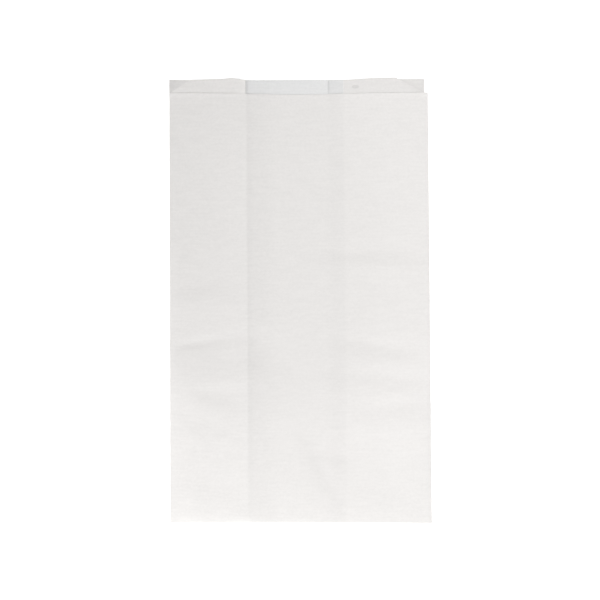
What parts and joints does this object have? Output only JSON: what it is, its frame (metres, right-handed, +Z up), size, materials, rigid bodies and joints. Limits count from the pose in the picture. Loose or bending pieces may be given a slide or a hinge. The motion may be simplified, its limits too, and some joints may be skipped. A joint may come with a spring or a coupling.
{
  "type": "paper food bag",
  "caption": "Flat white paper food bag with side gussets, a lapped back seam, a turned-over glued bottom and a stepped open mouth, lying on its back.",
  "frame": {"origin": "middle of the bag's footprint, on the surface that it lies on", "axes": "+X across the bag to the right, +Y along it towards the open mouth, +Z up out of the front"},
  "size_m": [0.175, 0.3006, 0.0048],
  "materials": {
    "paper": "thin bleached white paper, matt to softly satin, slightly warm, lets the folds and laps behind it show through faintly"
  },
  "bodies": {
    "root": {"paper_bag": "paper"}
  },
  "joints": []
}
